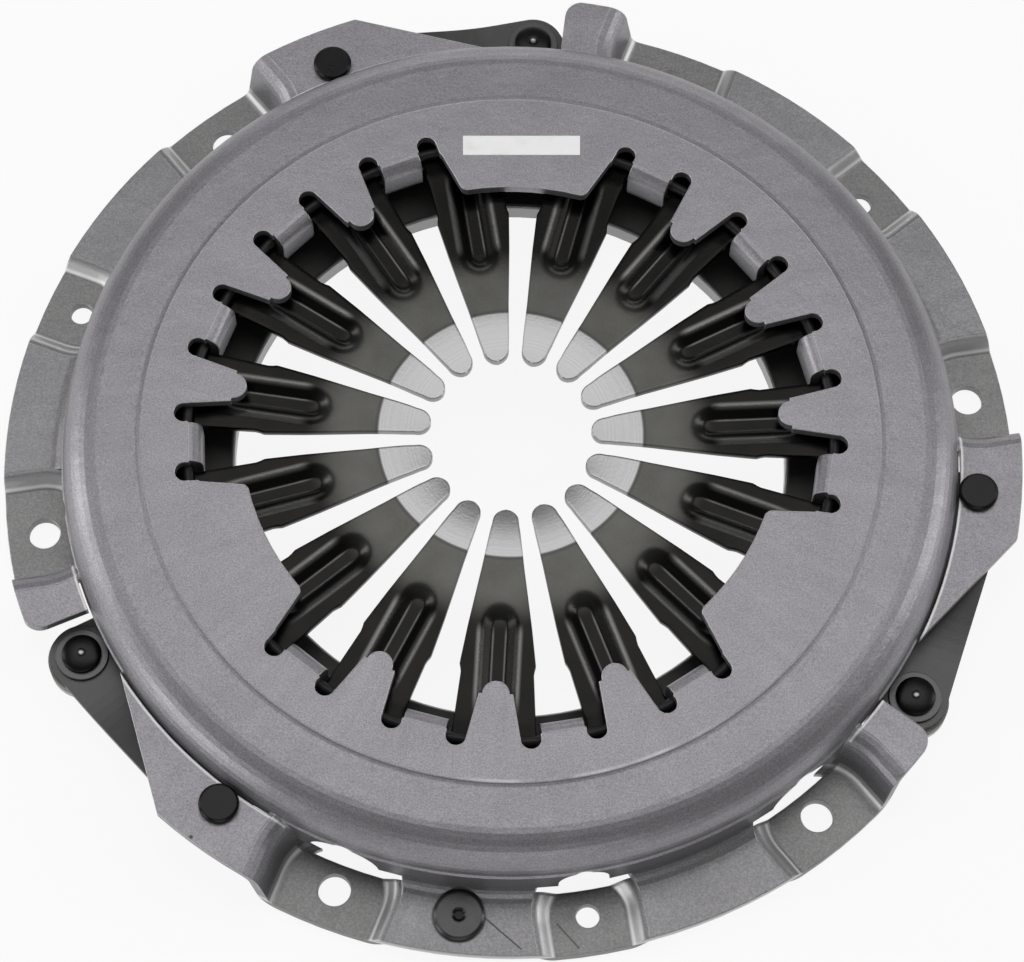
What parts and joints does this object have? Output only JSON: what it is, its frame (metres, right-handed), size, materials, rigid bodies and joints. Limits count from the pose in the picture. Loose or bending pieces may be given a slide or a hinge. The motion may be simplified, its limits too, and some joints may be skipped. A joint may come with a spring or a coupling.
{
  "type": "clutch pressure plate",
  "caption": "Diaphragm-spring clutch cover assembly: domed cover with a stepped flange, channelled spring fingers and a cast plate on leaf straps.",
  "frame": {"origin": "centre of the bolt circle on the face of the flange's seats, which meets the flywheel", "axes": "+Z along the axis away from the flywheel, to the release bearing; +Y to the first of the three lugs"},
  "size_m": [0.2888, 0.2881, 0.032],
  "materials": {
    "cover_steel": "pressed sheet steel, dull grey with a faint purple cast, scuffed at the edges",
    "cast_iron": "grey iron, cast outside and ground on the friction face",
    "spring_steel": "hardened, dark oiled steel with bright ground finger tips",
    "wire_steel": "drawn steel wire, oiled",
    "strap_steel": "dark blued spring steel",
    "rivet_steel": "black oxide steel",
    "washer_steel": "plain grey steel"
  },
  "bodies": {
    "cover_assembly": {"cover": "cover_steel", "upper_pivot_wire": "wire_steel", "lower_pivot_wire": "wire_steel", "cover_rivet_1": "rivet_steel", "cover_rivet_2": "rivet_steel", "cover_rivet_3": "rivet_steel", "balance_rivet": "rivet_steel"},
    "plate": {"pressure_plate": "cast_iron", "lug_rivet_1": "rivet_steel", "lug_rivet_2": "rivet_steel", "lug_rivet_3": "rivet_steel", "lug_washer_1": "washer_steel", "lug_washer_2": "washer_steel", "lug_washer_3": "washer_steel", "strap_1_top_leaf": "strap_steel", "strap_1_middle_leaf": "strap_steel", "strap_1_bottom_leaf": "strap_steel", "strap_2_top_leaf": "strap_steel", "strap_2_middle_leaf": "strap_steel", "strap_2_bottom_leaf": "strap_steel", "strap_3_top_leaf": "strap_steel", "strap_3_middle_leaf": "strap_steel", "strap_3_bottom_leaf": "strap_steel"},
    "spring": {"diaphragm_spring": "spring_steel"}
  },
  "joints": [
    {"name": "plate_lift", "type": "slide", "parent": "cover_assembly", "child": "plate", "axis": [0, 0, 1], "range_m": [0, 0.004], "stiffness_N_per_m": 20000, "deforming": ["strap_1_top_leaf", "strap_1_middle_leaf", "strap_1_bottom_leaf", "strap_2_top_leaf", "strap_2_middle_leaf", "strap_2_bottom_leaf", "strap_3_top_leaf", "strap_3_middle_leaf", "strap_3_bottom_leaf"]},
    {"name": "finger_travel", "type": "slide", "parent": "cover_assembly", "child": "spring", "axis": [0, 0, 1], "range_m": [-0.0145, 0], "deforming": ["diaphragm_spring"]}
  ],
  "couplings": [
    {"joint": "finger_travel", "follows": "plate_lift", "ratio": -3.5469}
  ]
}
